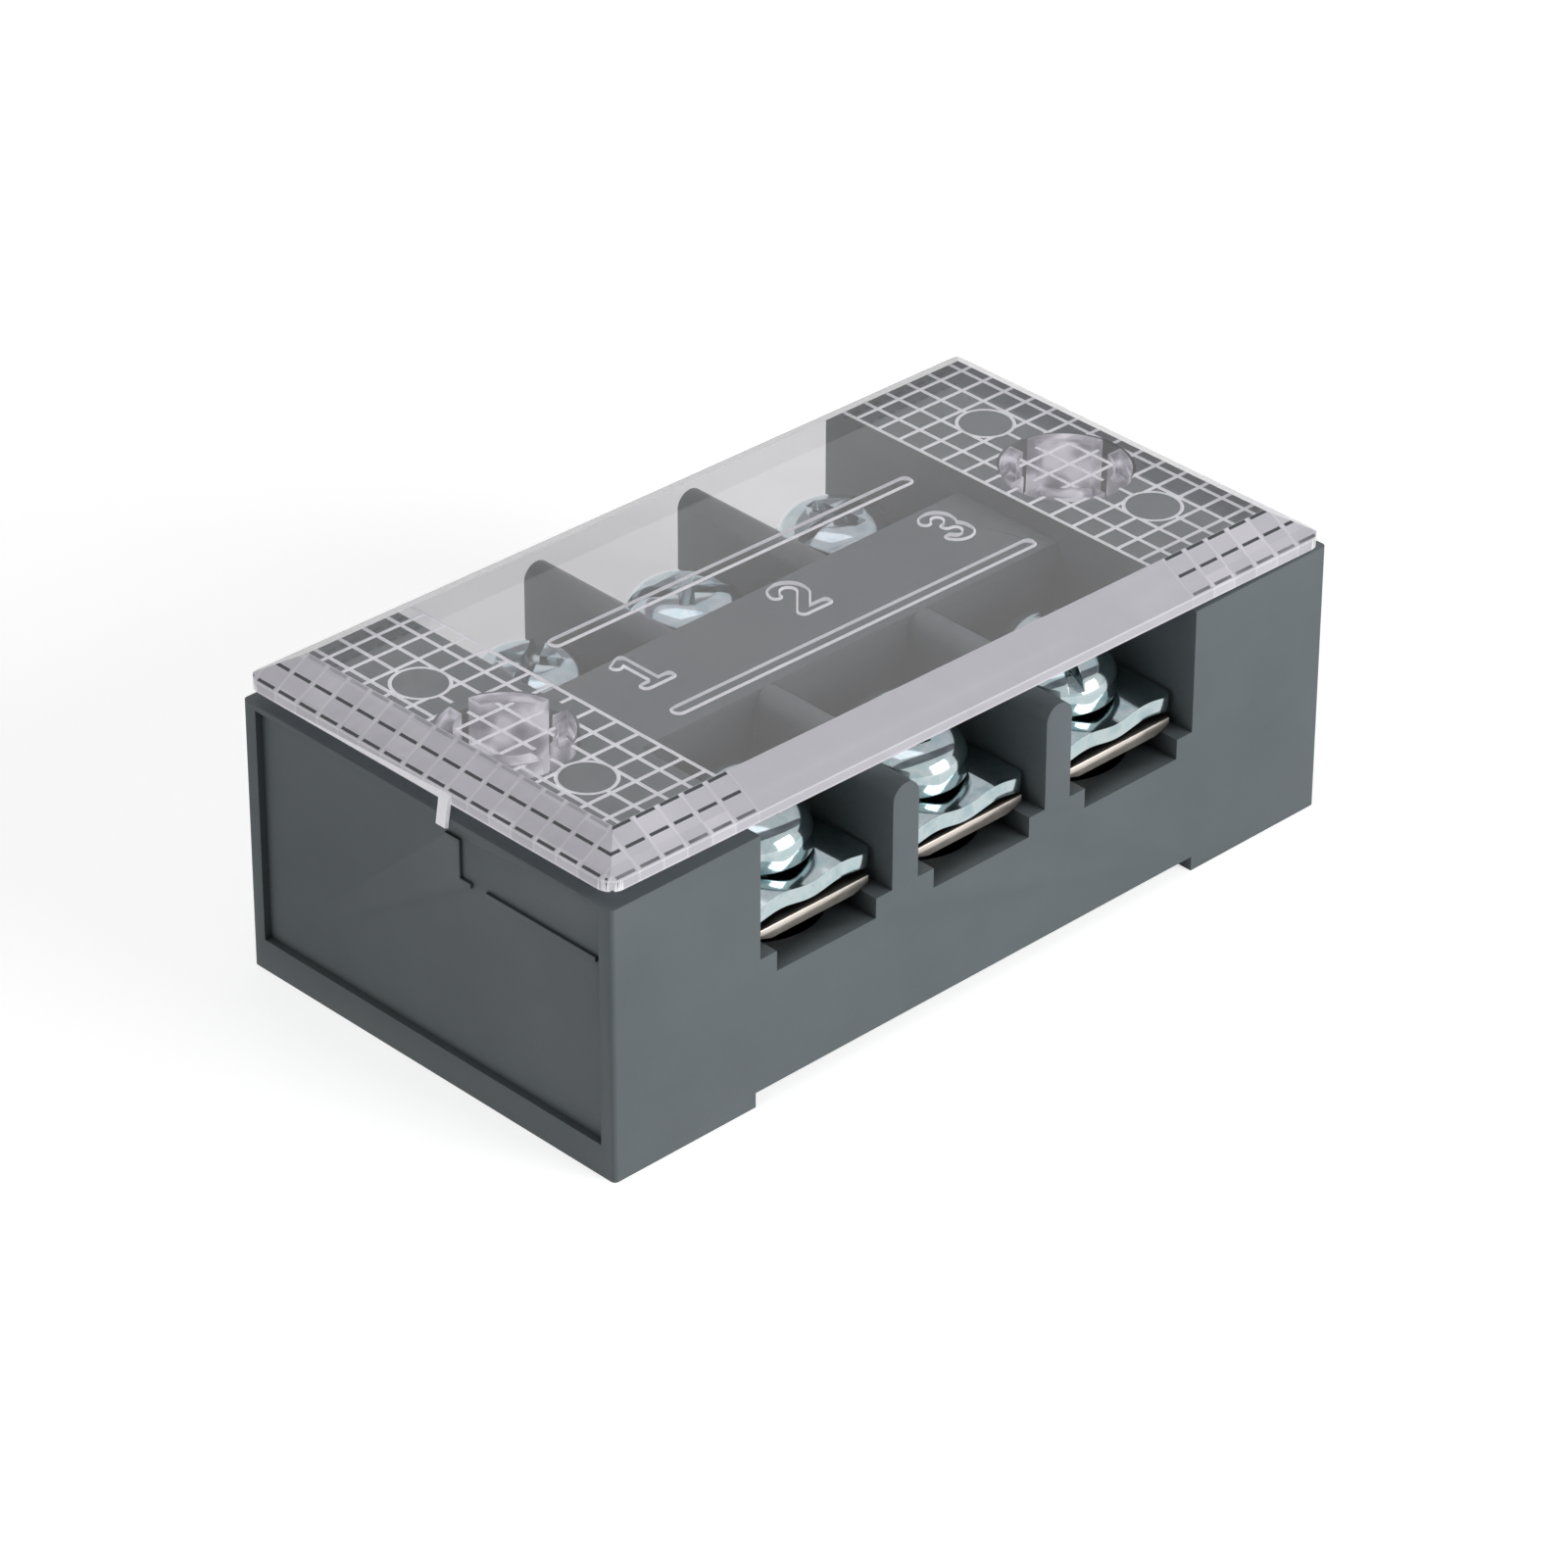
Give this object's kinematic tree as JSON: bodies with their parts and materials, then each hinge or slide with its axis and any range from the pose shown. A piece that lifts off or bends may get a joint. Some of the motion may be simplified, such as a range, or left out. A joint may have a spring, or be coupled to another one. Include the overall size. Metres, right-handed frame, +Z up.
{
  "type": "barrier terminal strip",
  "caption": "Panel-mount barrier terminal strip with captive wave-clamp screws on plated contact strips and a clear clip-on cover.",
  "frame": {"origin": "middle of the footprint, on the surface that the feet stand on", "axes": "+X along the row of poles towards the end by pole 3, -Y towards the near wire side, +Z up through the cover"},
  "size_m": [0.0566, 0.0302, 0.0206],
  "materials": {
    "body": "satin moulded",
    "contact": "bright tin plated",
    "zinc": "blue-bright zinc plated",
    "clear_cover": "clear polished"
  },
  "bodies": {
    "base": {"base": "body", "contact_strip_1": "contact", "contact_strip_2": "contact", "contact_strip_3": "contact"},
    "cover": {"cover": "clear_cover"},
    "clamp_front_1": {"clamp_front_1": "zinc"},
    "screw_front_1": {"screw_front_1": "zinc"},
    "clamp_front_2": {"clamp_front_2": "zinc"},
    "screw_front_2": {"screw_front_2": "zinc"},
    "clamp_front_3": {"clamp_front_3": "zinc"},
    "screw_front_3": {"screw_front_3": "zinc"},
    "clamp_rear_1": {"clamp_rear_1": "zinc"},
    "screw_rear_1": {"screw_rear_1": "zinc"},
    "clamp_rear_2": {"clamp_rear_2": "zinc"},
    "screw_rear_2": {"screw_rear_2": "zinc"},
    "clamp_rear_3": {"clamp_rear_3": "zinc"},
    "screw_rear_3": {"screw_rear_3": "zinc"}
  },
  "joints": [
    {"name": "cover_lift", "type": "slide", "parent": "base", "child": "cover", "axis": [0, 0, 1], "range_m": [0, 0.03]},
    {"name": "clamp_front_1_lift", "type": "slide", "parent": "base", "child": "clamp_front_1", "axis": [0, 0, 1], "range_m": [-0.00039, 0.0025]},
    {"name": "screw_front_1_turn", "type": "hinge", "parent": "clamp_front_1", "child": "screw_front_1", "pos_m": [-0.0121, -0.00905, 0.0105], "axis": [0, 0, 1], "range_deg": [-202, 1287]},
    {"name": "clamp_front_2_lift", "type": "slide", "parent": "base", "child": "clamp_front_2", "axis": [0, 0, 1], "range_m": [-0.00011, 0.0025]},
    {"name": "screw_front_2_turn", "type": "hinge", "parent": "clamp_front_2", "child": "screw_front_2", "pos_m": [0, -0.00905, 0.0105], "axis": [0, 0, 1], "range_deg": [-58, 1287]},
    {"name": "clamp_front_3_lift", "type": "slide", "parent": "base", "child": "clamp_front_3", "axis": [0, 0, 1], "range_m": [-0.00034, 0.0025]},
    {"name": "screw_front_3_turn", "type": "hinge", "parent": "clamp_front_3", "child": "screw_front_3", "pos_m": [0.0121, -0.00905, 0.0105], "axis": [0, 0, 1], "range_deg": [-176, 1287]},
    {"name": "clamp_rear_1_lift", "type": "slide", "parent": "base", "child": "clamp_rear_1", "axis": [0, 0, 1], "range_m": [-0.00039, 0.0025]},
    {"name": "screw_rear_1_turn", "type": "hinge", "parent": "clamp_rear_1", "child": "screw_rear_1", "pos_m": [-0.0121, 0.00905, 0.0105], "axis": [0, 0, 1], "range_deg": [-202, 1287]},
    {"name": "clamp_rear_2_lift", "type": "slide", "parent": "base", "child": "clamp_rear_2", "axis": [0, 0, 1], "range_m": [-0.00011, 0.0025]},
    {"name": "screw_rear_2_turn", "type": "hinge", "parent": "clamp_rear_2", "child": "screw_rear_2", "pos_m": [0, 0.00905, 0.0105], "axis": [0, 0, 1], "range_deg": [-58, 1287]},
    {"name": "clamp_rear_3_lift", "type": "slide", "parent": "base", "child": "clamp_rear_3", "axis": [0, 0, 1], "range_m": [-0.00034, 0.0025]},
    {"name": "screw_rear_3_turn", "type": "hinge", "parent": "clamp_rear_3", "child": "screw_rear_3", "pos_m": [0.0121, 0.00905, 0.0105], "axis": [0, 0, 1], "range_deg": [-176, 1287]}
  ],
  "couplings": [
    {"joint": "screw_front_1_turn", "follows": "clamp_front_1_lift", "rad_per_m": 8976},
    {"joint": "screw_front_2_turn", "follows": "clamp_front_2_lift", "rad_per_m": 8976},
    {"joint": "screw_front_3_turn", "follows": "clamp_front_3_lift", "rad_per_m": 8976},
    {"joint": "screw_rear_1_turn", "follows": "clamp_rear_1_lift", "rad_per_m": 8976},
    {"joint": "screw_rear_2_turn", "follows": "clamp_rear_2_lift", "rad_per_m": 8976},
    {"joint": "screw_rear_3_turn", "follows": "clamp_rear_3_lift", "rad_per_m": 8976}
  ]
}
